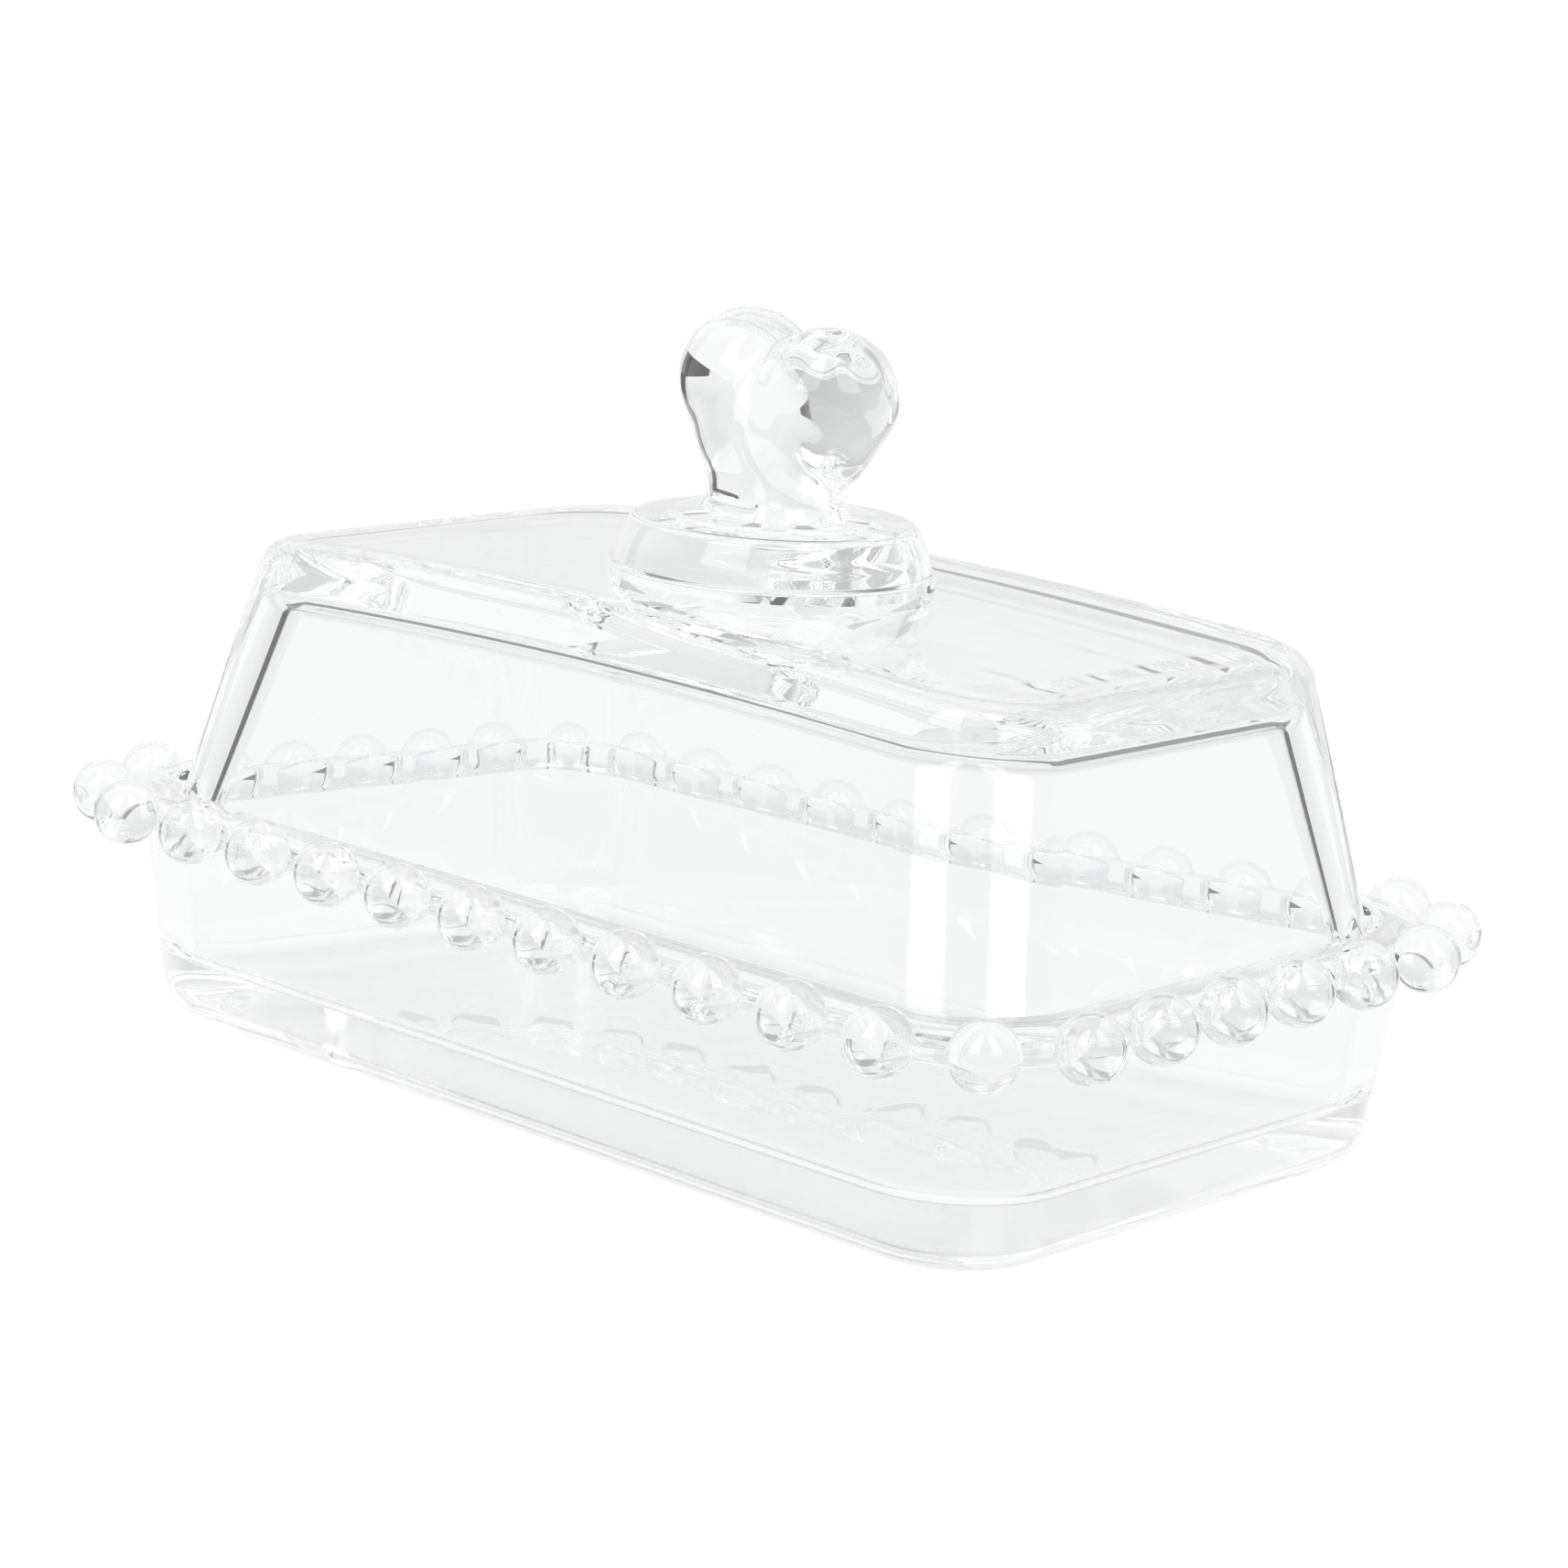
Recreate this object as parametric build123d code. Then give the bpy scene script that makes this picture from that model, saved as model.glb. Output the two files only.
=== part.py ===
from build123d import *
import math
import os

# Covered butter dish in clear pressed glass: beaded tray, tapered lid, disc pad and heart knob.
#
# Units are millimetres. +X runs along the long side and +Z points up. The origin is the centre
# of the tray's underside, which is what the dish stands on.

# Plan shape: every level of the tray and the lid is a rounded rectangle whose half length
# exceeds its half width by the same amount, so a level is given by (half length, corner radius).
HALF_LENGTH_OVER_HALF_WIDTH = 34.7

# Tray
TRAY_BEAD_HEIGHT = 32.4
TRAY_TOP = 34.8
TRAY_FOOT = (81.7, 15.4)
TRAY_AT_TOP = (86.3, 18.8)
TRAY_BOTTOM_FILLET = 6.0
FLOOR_THICKNESS = 9.3
WELL_AT_FLOOR = (79.2, 14.5)
WELL_AT_SEAT = (80.5, 14.8)
WELL_FILLET = 3.0
SEAT_HEIGHT = 30.0
SEAT_RECESS = (82.1, 15.8)

# Moulded band round the tray's rim that carries the beads
BAND_BOTTOM = 29.8
BAND = (87.6, 17.5)
BAND_FILLET = 1.4

# Beads, one pitch apart along the sides, with one on each corner
BEAD_PITCH = 14.47
BEAD_RADIUS = 4.7
BEAD_LINE = (90.25, 19.7)
BEADS_PER_LONG_SIDE = 11
BEADS_PER_SHORT_SIDE = 6

# Lid
LID_FOOT = (81.5, 15.2)
LID_AT_TOP = (72.75, 14.5)
LID_END_TOP = 71.2
LID_TOP_CROWN = 2.6
LID_TOP_FILLET = 4.8
CAVITY_AT_FOOT = (78.0, 13.7)
CAVITY_AT_CEILING = (68.8, 12.3)
CEILING_END_HEIGHT = 63.2
CEILING_CROWN = 1.9
CEILING_FILLET = 3.2

# Disc pad under the knob, as (radius, height) of its outline
PAD_FLANGE_RADIUS = 23.15
PAD_FLANGE_TOP = 75.5
PAD_CONE_FOOT_RADIUS = 22.5
PAD_CONE_TOP_RADIUS = 20.6
PAD_TOP = 82.0
PAD_EDGE_FILLET = 1.5
PAD_FLANGE_FILLET = 0.5
PAD_STEP_RADIUS = 14.9
PAD_STEP_TOP = 82.7
PAD_STEP_FILLET = 0.4

# Heart knob: two round lobes that taper into one rounded stem
HEART_CENTRE_X = -0.2
HEART_LEAN_DEGREES = 4.0
LOBE_RADIUS = 10.0
LOBE_OFFSET = 7.5
LOBE_HEIGHT = 100.3
STEM_RADIUS = 8.7
STEM_HEIGHT = 85.9
BELLY_RADIUS = 9.0
BELLY_HEIGHT = 97.0

MARGIN = 5.0
TOUCH = 0.01
EIGHTH_TURN = 45


def level(size, height):
    """Rounded rectangle face of the plan shape at one height."""
    half_length, radius = size
    half_width = half_length - HALF_LENGTH_OVER_HALF_WIDTH
    outline = RectangleRounded(2 * half_length, 2 * half_width, radius)
    return Plane.XY.offset(height) * outline


def extended(low, low_height, high, high_height, height):
    """The level reached when the straight walls from low to high run on to another height."""
    share = (height - low_height) / (high_height - low_height)
    return tuple(a + (b - a) * share for a, b in zip(low, high))


def frustum(low, low_height, high, high_height):
    """Straight-walled solid between two levels."""
    return loft([level(low, low_height), level(high, high_height)], ruled=True)


def under_crown(top, end_height, crown, half_length, floor_height):
    """Block whose top is arched along X: end_height at both ends of top, crown more midway."""
    end = end_height + crown * (1 - (half_length / top[0]) ** 2)
    arch = ThreePointArc((-half_length, end), (0, end_height + crown), (half_length, end))
    sides = Polyline(
        (half_length, end),
        (half_length, floor_height),
        (-half_length, floor_height),
        (-half_length, end),
    )
    return extrude(Plane.XZ * make_face(arch + sides), half_length, both=True)


def make_tray():
    """Deep tray with a thick floor, a banded rim and a recessed seat for the lid."""
    body = frustum(TRAY_FOOT, 0, TRAY_AT_TOP, TRAY_TOP)
    body = fillet(body.edges().group_by(Axis.Z)[0], TRAY_BOTTOM_FILLET)
    band = extrude(level(BAND, BAND_BOTTOM), TRAY_TOP - BAND_BOTTOM)
    band_ends = band.edges().group_by(Axis.Z)
    band = fillet(band_ends[0] + band_ends[-1], BAND_FILLET)
    well = frustum(WELL_AT_FLOOR, FLOOR_THICKNESS, WELL_AT_SEAT, SEAT_HEIGHT)
    well = fillet(well.edges().group_by(Axis.Z)[0], WELL_FILLET)
    seat = extrude(level(SEAT_RECESS, SEAT_HEIGHT), TRAY_TOP - SEAT_HEIGHT + MARGIN)
    return body + band - well - seat


def bead_places():
    """Each bead's (x, y, outward direction in degrees): four sides first, then the corners."""
    half_length, radius = BEAD_LINE
    half_width = half_length - HALF_LENGTH_OVER_HALF_WIDTH
    places = []
    for i in range(BEADS_PER_LONG_SIDE):
        along = (i - (BEADS_PER_LONG_SIDE - 1) / 2) * BEAD_PITCH
        places += [(along, -half_width, -90), (along, half_width, 90)]
    for i in range(BEADS_PER_SHORT_SIDE):
        along = (i - (BEADS_PER_SHORT_SIDE - 1) / 2) * BEAD_PITCH
        places += [(-half_length, along, 180), (half_length, along, 0)]
    corner_x = half_length - radius * (1 - math.cos(math.radians(EIGHTH_TURN)))
    corner_y = corner_x - HALF_LENGTH_OVER_HALF_WIDTH
    for turn, x, y in [(1, 1, 1), (3, -1, 1), (5, -1, -1), (7, 1, -1)]:
        places.append((x * corner_x, y * corner_y, turn * EIGHTH_TURN))
    return places


def make_bead(place, tray):
    """One bead, its inner side cut to the rim that it is pressed onto."""
    x, y, outward = place
    ball = Pos(x, y, TRAY_BEAD_HEIGHT) * Rot(0, 0, outward) * Sphere(BEAD_RADIUS)
    return ball - tray


def arched_frustum(foot, top, end_height, crown, fillet_radius):
    """Straight-walled solid from the seat up to an arched top with rounded edges."""
    over = end_height + crown + MARGIN
    reach = extended(foot, SEAT_HEIGHT, top, end_height, over)
    solid = frustum(foot, SEAT_HEIGHT, reach, over)
    solid &= under_crown(top, end_height, crown, foot[0] + MARGIN, SEAT_HEIGHT - MARGIN)
    return fillet(solid.faces().sort_by(Axis.Z)[-1].edges(), fillet_radius)


def make_lid():
    """Tapered cover, open below, with rounded corners and a thick, slightly arched top."""
    shell = arched_frustum(LID_FOOT, LID_AT_TOP, LID_END_TOP, LID_TOP_CROWN, LID_TOP_FILLET)
    cavity = arched_frustum(
        CAVITY_AT_FOOT, CAVITY_AT_CEILING, CEILING_END_HEIGHT, CEILING_CROWN, CEILING_FILLET
    )
    return shell - cavity


def make_pad(lid):
    """Round stepped pad between the lid and the heart, its underside cut to the lid's top."""
    outline = Polyline(
        (0, LID_END_TOP),
        (PAD_FLANGE_RADIUS, LID_END_TOP),
        (PAD_FLANGE_RADIUS, PAD_FLANGE_TOP),
        (PAD_CONE_FOOT_RADIUS, PAD_FLANGE_TOP),
        (PAD_CONE_TOP_RADIUS, PAD_TOP),
        (PAD_STEP_RADIUS, PAD_TOP),
        (PAD_STEP_RADIUS, PAD_STEP_TOP),
        (0, PAD_STEP_TOP),
        close=True,
    )
    pad = revolve(Plane.XZ * make_face(outline), Axis.Z)
    rounded = [
        (PAD_CONE_TOP_RADIUS, PAD_TOP, PAD_EDGE_FILLET),
        (PAD_STEP_RADIUS, PAD_STEP_TOP, PAD_STEP_FILLET),
        (PAD_FLANGE_RADIUS, PAD_FLANGE_TOP, PAD_FLANGE_FILLET),
    ]
    for radius, height, fillet_radius in rounded:
        ring = pad.edges().filter_by(lambda edge: is_ring(edge, radius, height))
        pad = fillet(ring, fillet_radius)
    return pad - lid


def is_ring(edge, radius, height):
    """True for the circular edge of this radius at this height."""
    if edge.geom_type != GeomType.CIRCLE:
        return False
    same_height = abs(edge.center().Z - height) < TOUCH
    return same_height and abs(edge.radius - radius) < TOUCH


def tapered_capsule(low, low_radius, high, high_radius):
    """Round bar between two balls in the XZ plane, its sides tangent to both."""
    along = Vector(*high) - Vector(*low)
    length = along.length
    slope = math.degrees(math.asin((low_radius - high_radius) / length))
    low_arc = CenterArc((0, 0), low_radius, -2 * EIGHTH_TURN, 2 * EIGHTH_TURN + slope)
    high_arc = CenterArc((0, length), high_radius, slope, 2 * EIGHTH_TURN - slope)
    side = Line(low_arc @ 1, high_arc @ 0)
    axis_line = Line(high_arc @ 1, low_arc @ 0)
    bar = revolve(Plane.XZ * make_face(low_arc + side + high_arc + axis_line), Axis.Z)
    return Plane(origin=low, x_dir=(0, 1, 0), z_dir=along.normalized()) * bar


def make_heart():
    """Plump heart: two lobes and a belly that taper into one stem, cut flat on the pad."""
    stem = (0, 0, STEM_HEIGHT)
    heart = tapered_capsule(stem, STEM_RADIUS, (LOBE_OFFSET, 0, LOBE_HEIGHT), LOBE_RADIUS)
    heart += tapered_capsule(stem, STEM_RADIUS, (-LOBE_OFFSET, 0, LOBE_HEIGHT), LOBE_RADIUS)
    heart += tapered_capsule(stem, STEM_RADIUS, (0, 0, BELLY_HEIGHT), BELLY_RADIUS)
    turned = Pos(0, 0, -PAD_STEP_TOP) * heart
    turned = Pos(HEART_CENTRE_X, 0, PAD_STEP_TOP) * Rot(0, HEART_LEAN_DEGREES, 0) * turned
    below = Pos(0, 0, PAD_STEP_TOP - LOBE_HEIGHT) * Box(LOBE_HEIGHT, LOBE_HEIGHT, 2 * LOBE_HEIGHT)
    return turned - below


def build():
    """Write one STEP file for each piece."""
    os.makedirs("parts", exist_ok=True)
    tray = make_tray()
    lid = make_lid()
    pieces = {
        "dish_tray": tray,
        "lid_cover": lid,
        "knob_pad": make_pad(lid),
        "heart_knob": make_heart(),
    }
    for number, place in enumerate(bead_places(), start=1):
        pieces[f"rim_bead_{number:02d}"] = make_bead(place, tray)
    for name, solid in pieces.items():
        export_step(solid, f"parts/{name}.step")


build()
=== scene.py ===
import math

import bmesh
import bpy
import numpy as np
from mathutils import Matrix, Vector


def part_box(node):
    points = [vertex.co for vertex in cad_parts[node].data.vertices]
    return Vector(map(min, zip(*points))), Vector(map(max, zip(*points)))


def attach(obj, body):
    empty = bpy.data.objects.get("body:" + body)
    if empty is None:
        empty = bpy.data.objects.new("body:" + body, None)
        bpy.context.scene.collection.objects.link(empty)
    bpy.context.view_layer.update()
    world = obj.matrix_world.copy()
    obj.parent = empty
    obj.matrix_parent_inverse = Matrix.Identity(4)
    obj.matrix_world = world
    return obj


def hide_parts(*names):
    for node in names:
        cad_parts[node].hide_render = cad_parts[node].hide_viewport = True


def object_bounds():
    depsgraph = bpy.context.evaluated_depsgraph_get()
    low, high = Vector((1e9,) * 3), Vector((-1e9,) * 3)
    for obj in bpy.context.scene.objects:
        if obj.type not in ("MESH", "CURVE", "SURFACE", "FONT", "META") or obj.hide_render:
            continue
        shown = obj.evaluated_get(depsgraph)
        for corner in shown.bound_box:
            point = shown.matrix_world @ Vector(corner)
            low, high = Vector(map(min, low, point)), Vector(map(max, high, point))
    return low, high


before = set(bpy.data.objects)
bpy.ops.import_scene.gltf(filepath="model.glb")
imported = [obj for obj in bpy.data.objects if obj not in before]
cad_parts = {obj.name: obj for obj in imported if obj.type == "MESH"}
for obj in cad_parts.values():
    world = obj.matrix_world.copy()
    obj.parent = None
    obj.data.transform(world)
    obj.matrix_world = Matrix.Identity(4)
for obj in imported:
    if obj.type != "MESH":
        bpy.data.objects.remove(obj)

# The butter dish is clear pressed glass. Light has to pass through each loose piece without
# meeting a joint inside it, so there are two meshes: the tray with its beaded rim, and the lid
# with its pad and heart. Each is made of lofted rings and blended balls, and then united.
# Lengths are in millimetres up to make_object(), which turns them into metres.

MM = 0.001
MERGE_DISTANCE = 0.002 * MM
SLIVER_LENGTH = 0.001 * MM
CAD_LOW, CAD_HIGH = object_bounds()

# ---------------------------------------------------------------- sizes


def box_mm(node):
    """A CAD node's lowest and highest corners, in millimetres."""
    low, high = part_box(node)
    return low / MM, high / MM


TRAY_HIGH = box_mm("dish_tray")[1]
LID_LOW, LID_HIGH = box_mm("lid_cover")
PAD_HIGH = box_mm("knob_pad")[1]
BEAD_NODES = sorted(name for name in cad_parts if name.startswith("rim_bead_"))
BEAD_LOW, BEAD_HIGH = box_mm(BEAD_NODES[0])

# Each level of the tray and the lid is a rounded rectangle, given by (half length, corner
# radius). Its half width is less than its half length by SIDE_GAP.
SIDE_GAP = TRAY_HIGH.x - TRAY_HIGH.y
TRAY_TOP = TRAY_HIGH.z
TRAY_FOOT = (81.7, 15.4)
TRAY_AT_TOP = (86.3, 18.8)
TRAY_BOTTOM_FILLET = 6.0
FLOOR_THICKNESS = 9.3
WELL_AT_FLOOR = (79.2, 14.5)
WELL_AT_SEAT = (80.5, 14.8)
WELL_FILLET = 3.0
SEAT_HEIGHT = LID_LOW.z
SEAT_RECESS = (82.1, 15.8)
BAND = (TRAY_HIGH.x, 17.5)
BAND_BOTTOM = 29.8
BAND_FILLET = 2.1
SMALL_FILLET = 0.8

LID_FOOT = (LID_HIGH.x, 15.2)
LID_AT_TOP = (72.75, 14.5)
LID_TOP_CROWN = 2.6
LID_END_TOP = LID_HIGH.z - LID_TOP_CROWN
LID_TOP_FILLET = 4.8
CAVITY_AT_FOOT = (78.0, 13.7)
CAVITY_AT_CEILING = (68.8, 12.3)
CEILING_END_HEIGHT = 63.2
CEILING_CROWN = 1.9
CEILING_FILLET = 3.4
AIR_GAP = 0.08

BEAD_RADIUS = (BEAD_HIGH.z - BEAD_LOW.z) / 2

# The pad is turned. Its (radius, height) points on the sloping side are CONE_FOOT, LOW and HIGH.
PAD_RADIUS = PAD_HIGH.x
PAD_ROOT_AT_RIM = LID_END_TOP + LID_TOP_CROWN - 2.0
PAD_ROOT_AT_MIDDLE = LID_END_TOP + 1.0
PAD_FLANGE_TOP = 75.5
PAD_FLANGE_FILLET = 0.7
PAD_FLANGE_END = 75
PAD_CONE_FOOT = (22.3, 75.75)
PAD_CONE_LOW = (21.9, 77.4)
PAD_CONE_HIGH = (21.5, 79.0)
PAD_CONE_TOP_RADIUS = 20.6
PAD_EDGE_FILLET = 1.6
PAD_EDGE_END = 14
PAD_TOP = 82.0
PAD_TOP_MIDDLE_RADIUS = 17.5
PAD_STEP_RADIUS = 14.9
PAD_STEP_SLOPE = 0.3
PAD_STEP_FILLET = 0.45
PAD_STEP_TOP = PAD_HIGH.z
PAD_STEP_MIDDLE_RADIUS = 8.0

HEART_CENTRE_X = -0.2
HEART_LEAN_DEGREES = 4.0
LOBE_RADIUS = 10.0
LOBE_OFFSET = 7.5
LOBE_HEIGHT = 100.3
STEM_RADIUS = 8.7
STEM_HEIGHT = 85.9
BELLY_RADIUS = 9.0
BELLY_HEIGHT = 97.0
LOBE_BLEND = 1.6
BELLY_BLEND = 2.4
FLARE_BLEND = 2.6
FLARE_SINK = 0.12
HEART_MIDDLE = LOBE_HEIGHT - 4.0
HEART_ROOT = PAD_STEP_TOP - 2.0
HEART_REACH = 26.0

# The heart's surface is pressed a little unevenly: waves along X, Y and Z, in radians for each mm.
HEART_UNEVENNESS = 0.12
HEART_WAVES = (0.62, 0.75, 0.55)
HEART_PHASES = (0.9, 1.2, 0.4)

# How finely each shape is divided.
CORNER_STEPS = 24
LONG_STEPS = 24
SHORT_STEPS = 12
LID_WALL_STEPS = 12
TRAY_WALL_STEPS = 8
WELL_WALL_STEPS = 6
EDGE_STEPS = 10
CROWN_STEPS = 12
WELL_FILLET_STEPS = 8
BAND_STEPS = 8
NECK_STEPS = 4
LIP_STEPS = 5
CAP_STEPS = 6
BEAD_RINGS = 24
BEAD_SECTORS = 40
PAD_SECTORS = 128
PAD_FILLET_STEPS = 5
PAD_EDGE_STEPS = 8
HEART_ROWS = 72
HEART_SECTORS = 112
HEART_HALVINGS = 40
SHARP_DEGREES = 32

# ---------------------------------------------------------------- rings and lofts


def plan_directions():
    """For each point round the plan: its share of the half sides, and its outward normal."""
    rows = []
    corners = [(1, 1, LONG_STEPS), (-1, 1, SHORT_STEPS), (-1, -1, LONG_STEPS), (1, -1, SHORT_STEPS)]
    for quarter, (x, y, steps) in enumerate(corners):
        for i in range(CORNER_STEPS + 1):
            turn = math.radians(90 * (quarter + i / CORNER_STEPS))
            rows.append((x, y, math.cos(turn), math.sin(turn)))
        turn = math.radians(90 * (quarter + 1))
        for i in range(1, steps):
            along = 1 - 2 * i / steps
            share = (x * along, y) if steps == LONG_STEPS else (x, y * along)
            rows.append((*share, math.cos(turn), math.sin(turn)))
    return np.array(rows).T


SHARE_X, SHARE_Y, NORMAL_X, NORMAL_Y = plan_directions()


def ring(half_length, radius, height):
    """Points of one level. Each value is a number, or an array with one value for each point."""
    half_width = half_length - SIDE_GAP
    x = SHARE_X * (half_length - radius) + NORMAL_X * radius
    y = SHARE_Y * (half_width - radius) + NORMAL_Y * radius
    return np.stack([x, y, height + 0 * x], axis=1)


def between(low, high, share):
    """The (half length, radius) that lies share of the way from low to high."""
    return low[0] + (high[0] - low[0]) * share, low[1] + (high[1] - low[1]) * share


def wall(low, low_height, high, high_height, top, drop, bottom):
    """Rings of a straight wall from bottom up to drop below top, an array of heights."""
    rings = []
    for i in range(LID_WALL_STEPS + 1):
        height = bottom + (top - drop - bottom) * i / LID_WALL_STEPS
        size = between(low, high, (height - low_height) / (high_height - low_height))
        rings.append(ring(*size, height))
    return rings


def arched_shell(foot, top, end_height, rise, fillet_radius, bottom):
    """Rings from the foot of a tapered wall, round its top edge and in to the top's middle line."""
    lean = math.atan((foot[0] - top[0]) / (end_height - SEAT_HEIGHT))
    reach = fillet_radius / math.tan((math.pi / 2 + lean) / 2)
    start = reach - fillet_radius * math.cos(lean)
    drop = fillet_radius * (1 - math.sin(lean))
    heights = end_height + rise * (1 - (ring(top[0], top[1], 0)[:, 0] / top[0]) ** 2)
    rings = wall(foot, SEAT_HEIGHT, top, end_height, heights, drop, bottom)
    edge_size = between(foot, top, (heights - drop - SEAT_HEIGHT) / (end_height - SEAT_HEIGHT))
    for i in range(1, EDGE_STEPS + 1):
        turn = lean + (math.pi / 2 - lean) * i / EDGE_STEPS
        inset = reach - fillet_radius * math.cos(turn) - start
        height = heights - fillet_radius * (1 - math.sin(turn))
        rings.append(ring(edge_size[0] - inset, edge_size[1] - inset, height))
    rim_half = edge_size[0] - (reach - start)
    rim_radius = edge_size[1] - (reach - start)
    for i in range(1, CROWN_STEPS + 1):
        share = i / CROWN_STEPS
        half_length = rim_half + (SIDE_GAP - rim_half) * share
        points = ring(half_length, rim_radius * (1 - share), 0)
        points[:, 2] = end_height + rise * (1 - (points[:, 0] / top[0]) ** 2)
        rings.append(points)
    return rings


def arc_rings(size, height, inset_centre, height_centre, radius, start, end, steps):
    """Rings round an edge, an arc in the (outward, up) plane, measured from size at height."""
    rings = []
    for i in range(steps + 1):
        turn = math.radians(start + (end - start) * i / steps)
        outward = inset_centre + radius * math.cos(turn)
        up = height_centre + radius * math.sin(turn)
        rings.append(ring(size[0] + outward, size[1] + outward, height + up))
    return rings


def flat_cap(rings):
    """Rings from the last ring in to the middle line at one height."""
    half_length = rings[-1][:, 0].max()
    height = rings[-1][0, 2]
    diagonal = rings[-1][CORNER_STEPS // 2]
    radius = (half_length - diagonal[0]) / (1 - math.cos(math.radians(45)))
    cap = []
    for i in range(1, CAP_STEPS + 1):
        share = i / CAP_STEPS
        cap.append(ring(half_length + (SIDE_GAP - half_length) * share, radius * (1 - share), height))
    return cap


def loft(rings):
    """(vertices, faces) of the closed surface through these rings."""
    count = len(rings[0])
    faces = []
    for level in range(len(rings) - 1):
        for i in range(count):
            j = (i + 1) % count
            low, high = level * count, (level + 1) * count
            faces.append((low + i, low + j, high + j, high + i))
    return np.concatenate(rings), faces


def turned(outline, sectors, first=0.0):
    """(vertices, faces) of an outline of (radius, height) points turned round the Z axis."""
    vertices, faces = [(0, 0, outline[0][1])], []
    inside = outline[1:-1]
    for radius, height in inside:
        for k in range(sectors):
            turn = first + 2 * math.pi * k / sectors
            vertices.append((radius * math.cos(turn), radius * math.sin(turn), height))
    vertices.append((0, 0, outline[-1][1]))
    last = len(vertices) - 1
    base = 1 + (len(inside) - 1) * sectors
    for k in range(sectors):
        m = (k + 1) % sectors
        faces.append((0, 1 + k, 1 + m))
        faces.append((base + k, last, base + m))
        for i in range(len(inside) - 1):
            low, high = 1 + i * sectors, 1 + (i + 1) * sectors
            faces.append((low + k, high + k, high + m, low + m))
    return np.array(vertices, float), faces


def half_circle(radius, rows):
    """(radius, height) points of a half circle from its top to its bottom."""
    turns = [math.pi * i / rows for i in range(rows + 1)]
    return [(radius * math.sin(turn), radius * math.cos(turn)) for turn in turns]


# ---------------------------------------------------------------- meshes


def make_object(name, vertices, faces):
    """A closed mesh object, in metres, with its normals outward."""
    mesh = bpy.data.meshes.new(name)
    mesh.from_pydata((np.asarray(vertices) * MM).tolist(), [], faces)
    work = bmesh.new()
    work.from_mesh(mesh)
    bmesh.ops.remove_doubles(work, verts=work.verts, dist=MERGE_DISTANCE)
    bmesh.ops.dissolve_degenerate(work, edges=work.edges, dist=SLIVER_LENGTH)
    bmesh.ops.recalc_face_normals(work, faces=work.faces)
    work.to_mesh(mesh)
    work.free()
    made = bpy.data.objects.new(name, mesh)
    bpy.context.scene.collection.objects.link(made)
    return made


def unite(base, *others):
    """Base becomes one solid with the others, which are removed."""
    for other in others:
        modifier = base.modifiers.new("unite", "BOOLEAN")
        modifier.operation = "UNION"
        modifier.solver = "MANIFOLD"
        modifier.object = other
        evaluated = base.evaluated_get(bpy.context.evaluated_depsgraph_get())
        united = bpy.data.meshes.new_from_object(evaluated)
        base.modifiers.clear()
        base.data = united
        bpy.data.objects.remove(other)
    return base


def finish_piece(piece, material):
    """One material, and smooth shading except across sharp edges."""
    piece.data.materials.clear()
    piece.data.materials.append(material)
    for face in piece.data.polygons:
        face.use_smooth = True
        face.material_index = 0
    piece.data.set_sharp_from_angle(angle=math.radians(SHARP_DEGREES))


# ---------------------------------------------------------------- the tray and its beads


def rounded_edge(foot, top, slope, base, radius, lean, turns):
    """Rings round the bottom edge of a wall that slopes from foot to top over the slope's height."""
    reach = radius / math.tan((math.pi / 2 + lean) / 2)
    rings = []
    for turn in turns:
        half_length = foot[0] - (reach - radius * math.cos(turn))
        height = base + radius * (1 + math.sin(turn))
        straight = between(foot, top, (height - base) / slope)
        rings.append(ring(half_length, straight[1] - (straight[0] - half_length), height))
    return rings


def tray_bottom():
    """Rings of the tray's underside and the rounded edge round it, up to the straight wall."""
    lean = math.atan((TRAY_AT_TOP[0] - TRAY_FOOT[0]) / TRAY_TOP)
    turns = [-math.pi / 2 + (math.pi / 2 - lean) * i / EDGE_STEPS for i in range(EDGE_STEPS + 1)]
    edge = rounded_edge(TRAY_FOOT, TRAY_AT_TOP, TRAY_TOP, 0, TRAY_BOTTOM_FILLET, lean, turns)
    return flat_cap(edge[:1])[::-1] + edge


def tray_outside():
    """Rings up the tray's wall and round the rim band, over the lip and down to the well."""
    lean = math.atan((TRAY_AT_TOP[0] - TRAY_FOOT[0]) / TRAY_TOP)
    neck = BAND_BOTTOM - SMALL_FILLET
    low = TRAY_BOTTOM_FILLET * (1 - math.sin(lean))
    rings = []
    for i in range(1, TRAY_WALL_STEPS + 1):
        height = low + (neck - low) * i / TRAY_WALL_STEPS
        rings.append(ring(*between(TRAY_FOOT, TRAY_AT_TOP, height / TRAY_TOP), height))
    wall_size = between(TRAY_FOOT, TRAY_AT_TOP, neck / TRAY_TOP)
    for i in range(1, NECK_STEPS + 1):
        turn = math.pi / 2 * i / NECK_STEPS
        outward = SMALL_FILLET * (1 - math.cos(turn))
        height = neck + SMALL_FILLET * math.sin(turn)
        rings.append(ring(*between(wall_size, BAND, outward / (BAND[0] - wall_size[0])), height))
    rings += arc_rings(BAND, BAND_BOTTOM, -BAND_FILLET, BAND_FILLET, BAND_FILLET, -90, 0, BAND_STEPS)
    rings += arc_rings(BAND, TRAY_TOP, -BAND_FILLET, -BAND_FILLET, BAND_FILLET, 0, 90, BAND_STEPS)
    lip, half = SMALL_FILLET, SMALL_FILLET / 2
    rings += arc_rings(SEAT_RECESS, TRAY_TOP, lip, -lip, lip, 90, 180, LIP_STEPS)
    rings += arc_rings(SEAT_RECESS, SEAT_HEIGHT, -half, half, half, 0, -90, NECK_STEPS)
    rings += arc_rings(WELL_AT_SEAT, SEAT_HEIGHT, lip, -lip, lip, 90, 180, LIP_STEPS)
    return rings


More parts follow.
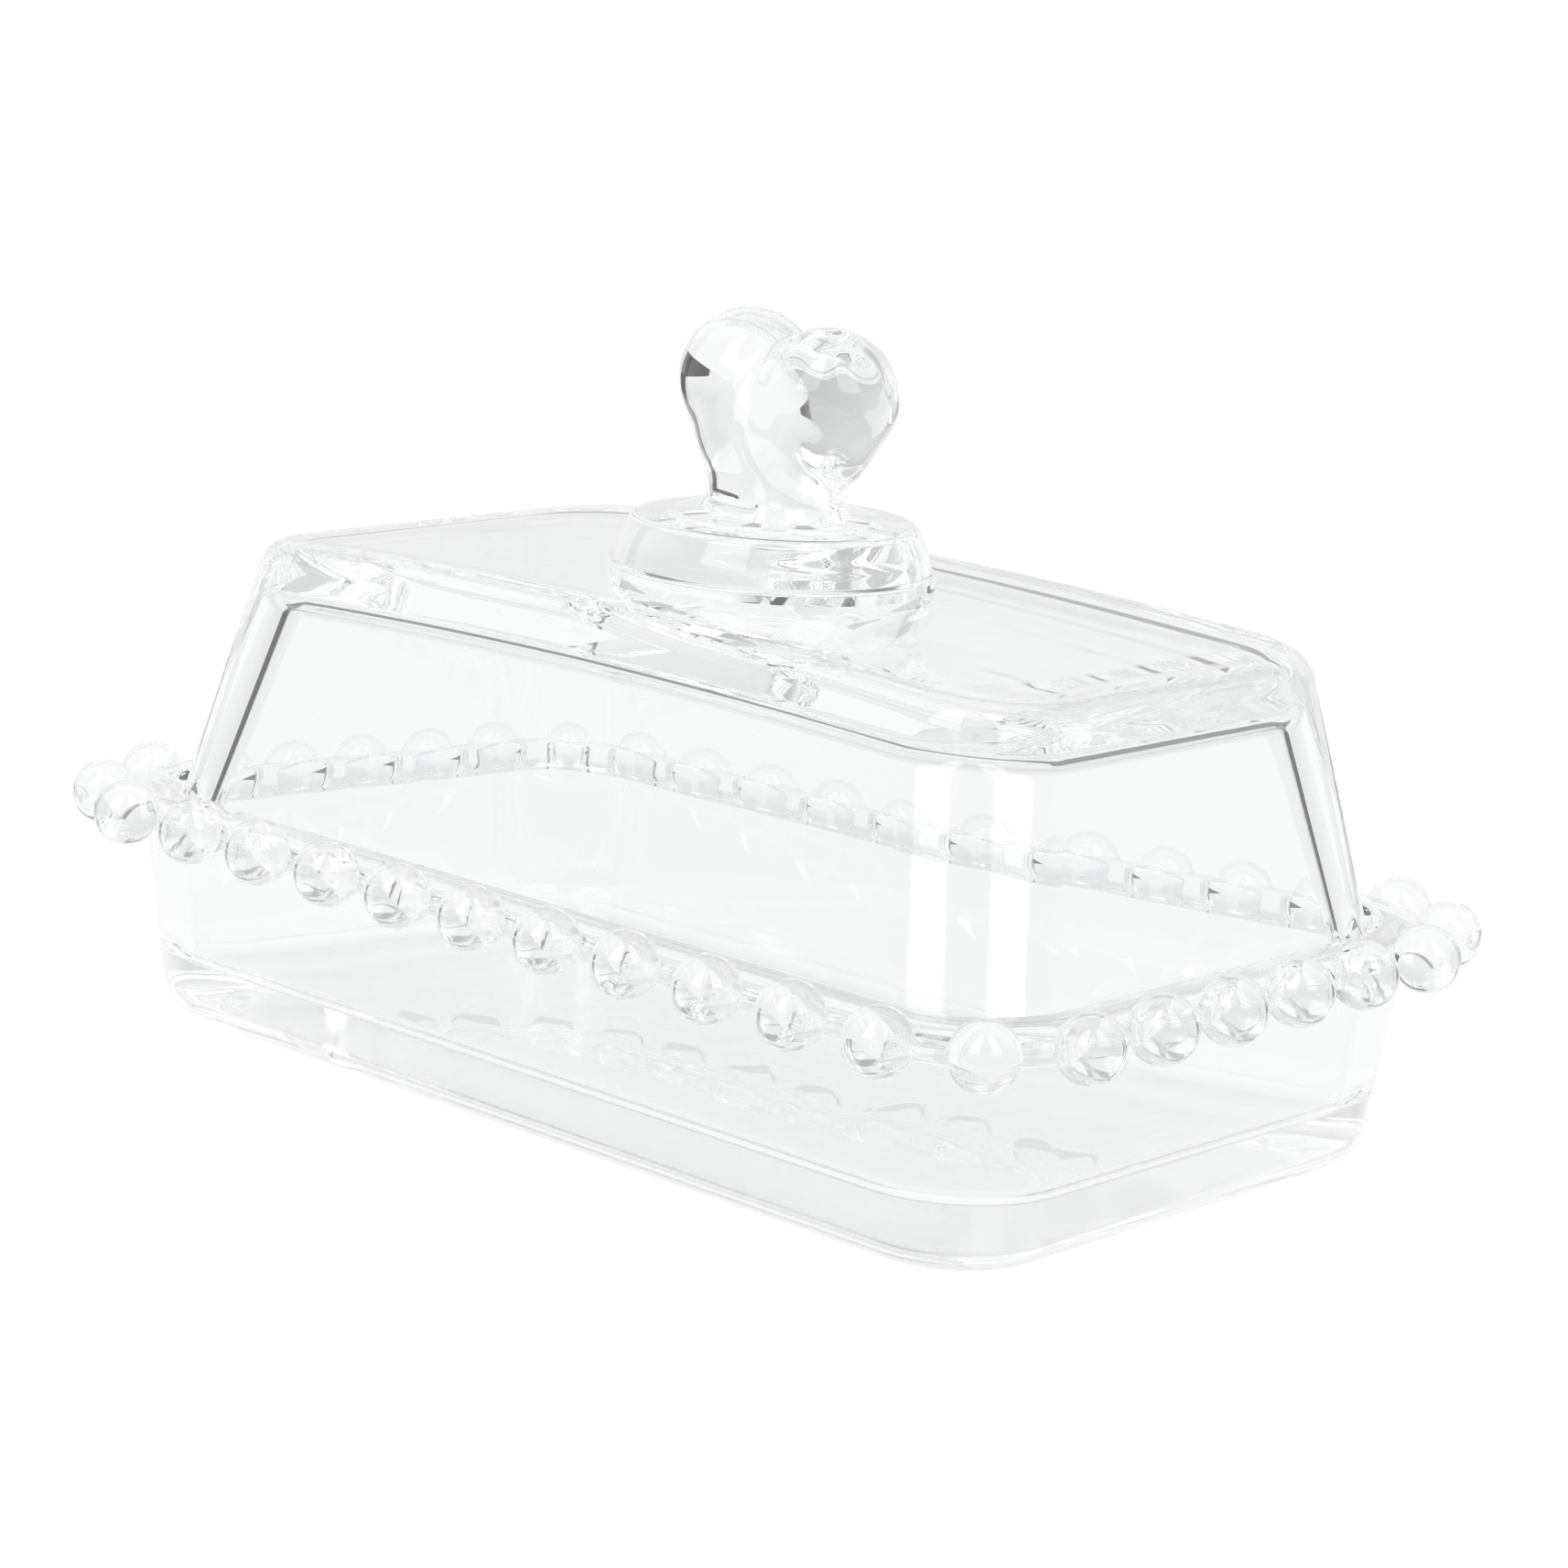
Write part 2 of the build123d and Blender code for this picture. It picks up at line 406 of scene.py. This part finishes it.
def well():
    """Rings down the well's wall, round its bottom edge and over its floor."""
    depth = SEAT_HEIGHT - FLOOR_THICKNESS
    lean = math.atan((WELL_AT_SEAT[0] - WELL_AT_FLOOR[0]) / depth)
    low = FLOOR_THICKNESS + WELL_FILLET * (1 - math.sin(lean))
    high = SEAT_HEIGHT - SMALL_FILLET
    rings = []
    for i in range(1, WELL_WALL_STEPS + 1):
        height = high + (low - high) * i / WELL_WALL_STEPS
        size = between(WELL_AT_FLOOR, WELL_AT_SEAT, (height - FLOOR_THICKNESS) / depth)
        rings.append(ring(*size, height))
    turns = [
        -lean - (math.pi / 2 - lean) * i / WELL_FILLET_STEPS for i in range(1, WELL_FILLET_STEPS + 1)
    ]
    rings += rounded_edge(
        WELL_AT_FLOOR, WELL_AT_SEAT, depth, FLOOR_THICKNESS, WELL_FILLET, lean, turns
    )
    return rings + flat_cap(rings)


def make_tray():
    """Tray body: foot, tapered wall, rounded rim band, recess for the lid and deep well."""
    return make_object("dish_glass", *loft(tray_bottom() + tray_outside() + well()))


def bead_centre(node):
    """Centre of a bead. Its CAD solid is cut only on the side towards the dish."""
    low, high = box_mm(node)
    centre = []
    for a, b in zip(low, high):
        centre.append(b - BEAD_RADIUS if abs(b) > abs(a) else a + BEAD_RADIUS)
    return centre


def make_beads():
    """All the rim's beads as one mesh of separate balls, each turned to face outward."""
    outline = half_circle(BEAD_RADIUS, BEAD_RINGS)
    vertices, faces = [], []
    for number, node in enumerate(BEAD_NODES):
        centre = bead_centre(node)
        first = math.atan2(centre[1], centre[0]) + math.pi / BEAD_SECTORS
        points, sides = turned(outline, BEAD_SECTORS, first)
        shift = number * len(points)
        vertices.append(points + np.array(centre))
        faces += [tuple(i + shift for i in side) for side in sides]
    return make_object("beads", np.concatenate(vertices), faces)


# ---------------------------------------------------------------- the lid, its pad and its heart


def make_lid():
    """Tapered cover with rounded corners and a thick arched top, open below."""
    bottom = SEAT_HEIGHT + AIR_GAP + SMALL_FILLET
    outer = arched_shell(LID_FOOT, LID_AT_TOP, LID_END_TOP, LID_TOP_CROWN, LID_TOP_FILLET, bottom)
    inner = arched_shell(
        CAVITY_AT_FOOT, CAVITY_AT_CEILING, CEILING_END_HEIGHT, CEILING_CROWN, CEILING_FILLET, bottom
    )
    rise = bottom - SEAT_HEIGHT
    outer_size = between(LID_FOOT, LID_AT_TOP, rise / (LID_END_TOP - SEAT_HEIGHT))
    inner_size = between(CAVITY_AT_FOOT, CAVITY_AT_CEILING, rise / (CEILING_END_HEIGHT - SEAT_HEIGHT))
    foot = arc_rings(outer_size, bottom, -SMALL_FILLET, 0, SMALL_FILLET, 0, -90, LIP_STEPS)[1:]
    foot += arc_rings(inner_size, bottom, SMALL_FILLET, 0, SMALL_FILLET, -90, -180, LIP_STEPS)[:-1]
    return make_object("lid_glass", *loft(outer[::-1] + foot + inner))


def arc(centre, radius, start, end, steps):
    """Points of a circular arc in the (radius, height) plane, angles in degrees."""
    points = []
    for i in range(steps + 1):
        turn = math.radians(start + (end - start) * i / steps)
        points.append((centre[0] + radius * math.cos(turn), centre[1] + radius * math.sin(turn)))
    return points


def make_pad():
    """Round pad: stepped top, sloping side and a thin flange on the lid."""
    outline = [(0, PAD_STEP_TOP), (PAD_STEP_MIDDLE_RADIUS, PAD_STEP_TOP)]
    centre = (PAD_STEP_RADIUS - PAD_STEP_FILLET, PAD_STEP_TOP - PAD_STEP_FILLET)
    outline += arc(centre, PAD_STEP_FILLET, 90, 0, PAD_FILLET_STEPS)
    outline += [(PAD_STEP_RADIUS + PAD_STEP_SLOPE, PAD_TOP), (PAD_TOP_MIDDLE_RADIUS, PAD_TOP)]
    centre = (PAD_CONE_TOP_RADIUS - PAD_EDGE_FILLET, PAD_TOP - PAD_EDGE_FILLET)
    outline += arc(centre, PAD_EDGE_FILLET, 90, PAD_EDGE_END, PAD_EDGE_STEPS)
    outline += [PAD_CONE_HIGH, PAD_CONE_LOW, PAD_CONE_FOOT]
    centre = (PAD_RADIUS - PAD_FLANGE_FILLET, PAD_FLANGE_TOP - PAD_FLANGE_FILLET)
    outline += arc(centre, PAD_FLANGE_FILLET, PAD_FLANGE_END, 0, PAD_FILLET_STEPS)
    outline += [(PAD_RADIUS, PAD_ROOT_AT_RIM), (0, PAD_ROOT_AT_MIDDLE)]
    return make_object("pad", *turned(outline, PAD_SECTORS))


def tapered_bar(points, low, low_radius, high, high_radius):
    """Signed distance of points to a round bar whose radius changes from low to high."""
    axis = np.array(high) - np.array(low)
    share = np.clip((points - low) @ axis / (axis @ axis), 0, 1)
    nearest = np.array(low) + share[:, None] * axis
    return np.linalg.norm(points - nearest, axis=1) - (low_radius + (high_radius - low_radius) * share)


def blend(a, b, reach):
    """Smooth minimum of two distances."""
    share = np.clip(0.5 + 0.5 * (b - a) / reach, 0, 1)
    return b + (a - b) * share - reach * share * (1 - share)


def heart_distance(points):
    """Signed distance to the heart: two lobes that run down into one stem, flared at the pad."""
    lean = math.radians(HEART_LEAN_DEGREES)
    local = points - np.array([HEART_CENTRE_X, 0, PAD_STEP_TOP])
    x = local[:, 0] * math.cos(lean) - local[:, 2] * math.sin(lean)
    z = local[:, 0] * math.sin(lean) + local[:, 2] * math.cos(lean) + PAD_STEP_TOP
    upright = np.stack([x, local[:, 1], z], axis=1)
    stem = (0, 0, STEM_HEIGHT)
    right = tapered_bar(upright, stem, STEM_RADIUS, (LOBE_OFFSET, 0, LOBE_HEIGHT), LOBE_RADIUS)
    left = tapered_bar(upright, stem, STEM_RADIUS, (-LOBE_OFFSET, 0, LOBE_HEIGHT), LOBE_RADIUS)
    belly = tapered_bar(upright, stem, STEM_RADIUS, (0, 0, BELLY_HEIGHT), BELLY_RADIUS)
    heart = blend(blend(right, left, LOBE_BLEND), belly, BELLY_BLEND)
    flared = blend(heart, points[:, 2] - PAD_STEP_TOP + FLARE_SINK, FLARE_BLEND)
    waves = np.sin(points * HEART_WAVES + HEART_PHASES).prod(axis=1)
    return flared + HEART_UNEVENNESS * (1 + waves)


def make_heart():
    """The heart's surface, found along rays from a point inside it."""
    directions, faces = turned(half_circle(1, HEART_ROWS), HEART_SECTORS)
    centre = np.array([HEART_CENTRE_X, 0, HEART_MIDDLE])
    near = np.zeros(len(directions))
    downward = np.minimum(directions[:, 2], -1e-9)
    far = np.minimum((HEART_ROOT - HEART_MIDDLE) / downward, HEART_REACH)
    for _ in range(HEART_HALVINGS):
        middle = (near + far) / 2
        inside = heart_distance(centre + directions * middle[:, None]) < 0
        near = np.where(inside, middle, near)
        far = np.where(inside, far, middle)
    return make_object("heart", centre + directions * near[:, None], faces)


# ---------------------------------------------------------------- materials

GLASS_TINT = (0.985, 0.992, 0.992, 1)
GLASS_IOR = 1.51

# Bumps of the pressed surface: noise scales, and depths in metres.
WAVE_SCALE = 38.0
RIPPLE_SCALE = 170.0
RIPPLE_SHARE = 0.1
TRAY_WAVE = 0.00018
LID_WAVE = 0.00012
LID_NOISE_SHIFT = 3.7

# The tray's ground underside: its roughness, and the heights in metres where that fades out.
BASE_ROUGHNESS = 0.21
BASE_FADE_LOW = 0.0001
BASE_FADE_HIGH = 0.0006


def nodes_of(material):
    """The material's nodes and links."""
    material.use_nodes = True
    return material.node_tree.nodes, material.node_tree.links


def brightness(nodes, links, level):
    """Light level of the surroundings: a knocked-out white to the eye, and level to the glass."""
    seen = nodes.new("ShaderNodeLightPath").outputs["Is Camera Ray"]
    choice = nodes.new("ShaderNodeMapRange")
    if isinstance(level, float):
        choice.inputs["To Min"].default_value = level
    else:
        links.new(level, choice.inputs["To Min"])
    choice.inputs["To Max"].default_value = SEEN_WHITE
    links.new(seen, choice.inputs["Value"])
    return choice.outputs["Result"]


def glass(name, wave, shift_by):
    """Clear pressed glass: smooth, with the slow waves and faint ripples of a moulded surface."""
    material = bpy.data.materials.new(name)
    nodes, links = nodes_of(material)
    shader = nodes["Principled BSDF"]
    shader.inputs["Base Color"].default_value = GLASS_TINT
    shader.inputs["Roughness"].default_value = 0.0
    shader.inputs["IOR"].default_value = GLASS_IOR
    shader.inputs["Transmission Weight"].default_value = 1.0
    place = nodes.new("ShaderNodeTexCoord")
    shift = nodes.new("ShaderNodeMapping")
    shift.inputs["Location"].default_value = (shift_by, shift_by, shift_by)
    links.new(place.outputs["Object"], shift.inputs["Vector"])
    normal = None
    for scale, distance in ((WAVE_SCALE, wave), (RIPPLE_SCALE, wave * RIPPLE_SHARE)):
        noise = nodes.new("ShaderNodeTexNoise")
        noise.inputs["Scale"].default_value = scale
        noise.inputs["Detail"].default_value = 0.0
        bump = nodes.new("ShaderNodeBump")
        bump.inputs["Strength"].default_value = 1.0
        bump.inputs["Distance"].default_value = distance
        links.new(shift.outputs["Vector"], noise.inputs["Vector"])
        links.new(noise.outputs["Fac"], bump.inputs["Height"])
        if normal is not None:
            links.new(normal, bump.inputs["Normal"])
        normal = bump.outputs["Normal"]
    links.new(normal, shader.inputs["Normal"])
    return material


def grind_base(material):
    """Softly ground underside: its roughness fades out just above the resting face."""
    nodes, links = nodes_of(material)
    place = nodes.new("ShaderNodeTexCoord")
    split = nodes.new("ShaderNodeSeparateXYZ")
    fade = nodes.new("ShaderNodeMapRange")
    fade.inputs["From Min"].default_value = BASE_FADE_LOW
    fade.inputs["From Max"].default_value = BASE_FADE_HIGH
    fade.inputs["To Min"].default_value = BASE_ROUGHNESS
    fade.inputs["To Max"].default_value = 0.0
    links.new(place.outputs["Object"], split.inputs["Vector"])
    links.new(split.outputs["Z"], fade.inputs["Value"])
    links.new(fade.outputs["Result"], nodes["Principled BSDF"].inputs["Roughness"])
    return material


def floor_material():
    """Plain pale table top that glows evenly, so clear glass leaves no shadow on it."""
    material = bpy.data.materials.new("floor_white")
    nodes, links = nodes_of(material)
    glow = nodes.new("ShaderNodeEmission")
    glow.inputs["Color"].default_value = (1, 1, 1, 1)
    links.new(brightness(nodes, links, FLOOR_GREY), glow.inputs["Strength"])
    links.new(glow.outputs["Emission"], nodes["Material Output"].inputs["Surface"])
    return material


# ---------------------------------------------------------------- studio

VIEW_AZIMUTH = 41.92
VIEW_ELEVATION = 12.63
VIEW_ROLL = 3.37
VIEW_DISTANCE = 0.6609
VIEW_AIM = Vector((-0.03153, 0.04024, 0.0324))
VIEW_LENS = 98.44

SENSOR_WIDTH = 36
CLIP_NEAR = 0.01
CLIP_FAR = 50

# A strip of table top, a hair below the dish so that the two faces don't coincide, in metres.
FLOOR_HALF_WIDTH = 0.2
FLOOR_HALF_LENGTH = 1.0
FLOOR_CELLS_ACROSS = 4
FLOOR_CELLS_ALONG = 20
FLOOR_DROP = 0.00005

# Light levels. Seen directly, the surroundings are white; the glass is lit by a light grey room.
SEEN_WHITE = 1.02
STUDIO_GREY = 0.91
FLOOR_GREY = 0.99
BACKDROP_SHADE = 0.81
CAMERA_SIDE = 0.56
GAP_BESIDE = 0.12
GAP_ABOVE = 0.30
SOFTBOX = 2.6

# The studio's directions in degrees: angles off the line away from the camera, and elevations.
# A light card stands behind the dish, narrower below the table, with a dark gap round it.
CARD_SIDE = 49.0
CARD_SIDE_BELOW = 22.0
CARD_TOP = 35.0
CARD_CORNER = 22.0
CARD_SOFTNESS = 1
BELOW_START = -7
BELOW_END = -3
GAP_SIDE = 62.0
GAP_TOP = 49.0
GAP_CORNER = 32.0
GAP_SOFTNESS = 2
GAP_FADE_LOW = 10
GAP_FADE_HIGH = 30
SHADE_LOW = 2
SHADE_HIGH = 14
SHADE_SOFTNESS = 6.0
ROOM_FADE_START = 60
ROOM_FADE_END = 120
BOX_START = 124
BOX_END = 160
BOX_BOTTOM = 20
BOX_TOP = 78
BOX_SOFTNESS = 2.0

LIGHT_BOUNCES = 96


def make_camera():
    """Long-lens camera at the near corner, a little above the lid's top, tipped slightly."""
    a, e, r = (math.radians(x) for x in (VIEW_AZIMUTH, VIEW_ELEVATION, VIEW_ROLL))
    back = Vector((math.sin(a) * math.cos(e), -math.cos(a) * math.cos(e), math.sin(e)))
    level_right = Vector((math.cos(a), math.sin(a), 0))
    level_up = back.cross(level_right)
    right = level_right * math.cos(r) + level_up * math.sin(r)
    up = level_up * math.cos(r) - level_right * math.sin(r)
    data = bpy.data.cameras.new("camera")
    data.lens = VIEW_LENS
    data.sensor_width = SENSOR_WIDTH
    data.clip_start, data.clip_end = CLIP_NEAR, CLIP_FAR
    camera = bpy.data.objects.new("camera", data)
    bpy.context.scene.collection.objects.link(camera)
    turn = Matrix((right, up, back)).transposed()
    camera.matrix_world = Matrix.Translation(VIEW_AIM + back * VIEW_DISTANCE) @ turn.to_4x4()
    bpy.context.scene.camera = camera


def make_floor():
    """A strip of white table top that runs away from the camera under the dish."""
    work = bmesh.new()
    cells = {"x_segments": FLOOR_CELLS_ACROSS, "y_segments": FLOOR_CELLS_ALONG}
    bmesh.ops.create_grid(work, size=1.0, **cells)
    mesh = bpy.data.meshes.new("floor")
    bmesh.ops.scale(work, vec=(FLOOR_HALF_WIDTH, FLOOR_HALF_LENGTH, 1), verts=work.verts)
    work.to_mesh(mesh)
    work.free()
    floor = bpy.data.objects.new("floor", mesh)
    floor.rotation_euler.z = math.radians(VIEW_AZIMUTH)
    floor.location.z = CAD_LOW.z - FLOOR_DROP
    bpy.context.scene.collection.objects.link(floor)
    mesh.materials.append(floor_material())


class World:
    """Small helper that builds the studio's surroundings out of math nodes."""

    def __init__(self):
        world = bpy.data.worlds.new("studio")
        bpy.context.scene.world = world
        world.use_nodes = True
        self.nodes, self.links = world.node_tree.nodes, world.node_tree.links
        self.background = self.nodes["Background"]

    def math(self, operation, *values):
        """Result of a math node on values, each a number or a socket."""
        node = self.nodes.new("ShaderNodeMath")
        node.operation = operation
        for i, value in enumerate(values):
            if isinstance(value, (int, float)):
                node.inputs[i].default_value = value
            else:
                self.links.new(value, node.inputs[i])
        return node.outputs[0]

    def step(self, value, low, high, at_low=0.0, at_high=1.0):
        """Smooth change from at_low to at_high as value goes from low to high."""
        node = self.nodes.new("ShaderNodeMapRange")
        node.interpolation_type = "SMOOTHSTEP"
        node.inputs["From Min"].default_value = low
        node.inputs["From Max"].default_value = high
        node.inputs["To Min"].default_value = at_low
        node.inputs["To Max"].default_value = at_high
        self.links.new(value, node.inputs["Value"])
        return node.outputs["Result"]

    def window(self, value, low, high, soft):
        """1 between low and high, with soft edges, and 0 outside."""
        rise = self.step(value, low - soft, low + soft)
        fall = self.step(value, high - soft, high + soft, 1.0, 0.0)
        return self.math("MULTIPLY", rise, fall)

    def beyond(self, off_axis, elevation, side, top, corner):
        """Degrees beyond a card that ends at side and top and has a rounded corner."""
        across = self.math("SUBTRACT", off_axis, self.math("SUBTRACT", side, corner))
        above = self.math("SUBTRACT", elevation, top - corner)
        across, above = (self.math("MAXIMUM", reach, 0.0) for reach in (across, above))
        squares = self.math("ADD", self.math("POWER", across, 2.0), self.math("POWER", above, 2.0))
        return self.math("SUBTRACT", self.math("SQRT", squares), corner)


def card_light(w, off_axis, elevation):
    """Light of the card and the room, and the dark gap between them."""
    side = w.step(elevation, BELOW_START, BELOW_END, CARD_SIDE_BELOW, CARD_SIDE)
    past_card = w.beyond(off_axis, elevation, side, CARD_TOP, CARD_CORNER)
    past_gap = w.beyond(off_axis, elevation, GAP_SIDE, GAP_TOP, GAP_CORNER)
    card = w.step(past_card, -CARD_SOFTNESS, CARD_SOFTNESS, 1.0, 0.0)
    lit = w.math("ADD", card, w.step(past_gap, -GAP_SOFTNESS, GAP_SOFTNESS))
    level = w.step(off_axis, ROOM_FADE_START, ROOM_FADE_END, STUDIO_GREY, CAMERA_SIDE)
    shade = w.math("MULTIPLY", w.window(elevation, SHADE_LOW, SHADE_HIGH, SHADE_SOFTNESS), card)
    level = w.math("SUBTRACT", level, w.math("MULTIPLY", shade, STUDIO_GREY - BACKDROP_SHADE))
    gap = w.step(elevation, GAP_FADE_LOW, GAP_FADE_HIGH, GAP_BESIDE, GAP_ABOVE)
    return w.math("MULTIPLY_ADD", lit, w.math("SUBTRACT", level, gap), gap)


def make_world():
    """Light card behind the dish, a dark gap round it, and two tall softboxes by the camera."""
    w = World()
    direction = w.nodes.new("ShaderNodeTexCoord").outputs["Generated"]
    split = w.nodes.new("ShaderNodeSeparateXYZ")
    w.links.new(direction, split.inputs[0])
    x, y, z = split.outputs
    a = math.radians(VIEW_AZIMUTH)
    forward = w.math("ADD", w.math("MULTIPLY", x, -math.sin(a)), w.math("MULTIPLY", y, math.cos(a)))
    right = w.math("ADD", w.math("MULTIPLY", x, math.cos(a)), w.math("MULTIPLY", y, math.sin(a)))
    off_axis = w.math("ABSOLUTE", w.math("DEGREES", w.math("ARCTAN2", right, forward)))
    elevation = w.math("DEGREES", w.math("ARCSINE", z))
    across = w.window(off_axis, BOX_START, BOX_END, BOX_SOFTNESS)
    boxes = w.math("MULTIPLY", across, w.window(elevation, BOX_BOTTOM, BOX_TOP, BOX_SOFTNESS))
    light = w.math("MULTIPLY_ADD", boxes, SOFTBOX, card_light(w, off_axis, elevation))
    w.background.inputs["Color"].default_value = (1, 1, 1, 1)
    w.links.new(brightness(w.nodes, w.links, light), w.background.inputs["Strength"])


def set_look():
    """Plain view transform, and enough bounces for light to get through all the glass."""
    scene = bpy.context.scene
    scene.view_settings.view_transform = "Standard"
    scene.cycles.max_bounces = LIGHT_BOUNCES
    scene.cycles.transmission_bounces = LIGHT_BOUNCES
    scene.cycles.glossy_bounces = LIGHT_BOUNCES


# ---------------------------------------------------------------- the whole object


def build():
    """The two loose pieces, each riding on its body and standing for its CAD nodes."""
    dish = unite(make_tray(), make_beads())
    finish_piece(dish, grind_base(glass("tray_glass", TRAY_WAVE, 0.0)))
    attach(dish, "dish")
    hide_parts("dish_tray", *BEAD_NODES)

    lid = unite(make_lid(), make_pad(), make_heart())
    finish_piece(lid, glass("lid_glass", LID_WAVE, LID_NOISE_SHIFT))
    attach(lid, "lid")
    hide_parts("lid_cover", "knob_pad", "heart_knob")


make_camera()
make_floor()
make_world()
set_look()
build()
